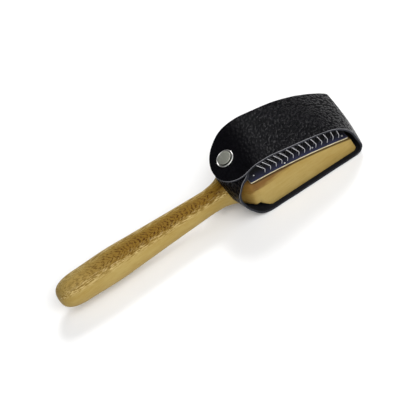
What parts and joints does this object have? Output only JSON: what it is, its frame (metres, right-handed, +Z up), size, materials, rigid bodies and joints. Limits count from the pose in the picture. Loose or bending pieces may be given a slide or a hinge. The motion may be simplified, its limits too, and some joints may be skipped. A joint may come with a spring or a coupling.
{
  "type": "suede brush",
  "caption": "Hand brush with a wooden handle, a wedge head of short kneed steel wires, and a wrap-round leather cover that folds open and snaps shut.",
  "frame": {"origin": "under the middle of the closed brush, on the plane of the cover's flat underside", "axes": "+X from the handle to the head along the handle's axis, +Z up out of the wires, +Y across the head"},
  "size_m": [0.2052, 0.04, 0.043],
  "materials": {
    "wood": "waxed",
    "pad_cloth": "woven",
    "pad_face": "matt",
    "wire_steel": "bright drawn",
    "tack_steel": "bright",
    "leather": "pebbled, semi-gloss",
    "nickel": "nickel plated"
  },
  "bodies": {
    "brush": {"brush_body": "wood", "pad_cloth": "pad_cloth", "pad_face": "pad_face", "pad_tacks": "tack_steel", "wire_row_1": "wire_steel", "wire_row_2": "wire_steel", "wire_row_3": "wire_steel", "wire_row_4": "wire_steel", "wire_row_5": "wire_steel", "wire_row_6": "wire_steel", "cover_base": "leather", "snap_stud": "nickel", "snap_eyelet": "nickel"},
    "cover_front": {"cover_front_panel": "leather"},
    "cover_top": {"cover_flap": "leather"},
    "cover_end": {"cover_flap_end": "leather", "snap_cap": "nickel", "snap_socket": "nickel", "snap_spring": "wire_steel"}
  },
  "joints": [
    {"name": "toe_fold", "type": "hinge", "parent": "brush", "child": "cover_front", "pos_m": [0.0955, 0, 0], "axis": [0, 1, 0], "range_deg": [0, 80]},
    {"name": "brow_fold", "type": "hinge", "parent": "cover_front", "child": "cover_top", "pos_m": [0.10025, 0, 0.01838], "axis": [0, 1, 0], "range_deg": [0, 110]},
    {"name": "flap_end_fold", "type": "hinge", "parent": "cover_top", "child": "cover_end", "pos_m": [0.05116, 0, 0.04164], "axis": [0, 1, 0], "range_deg": [0, 60]}
  ]
}
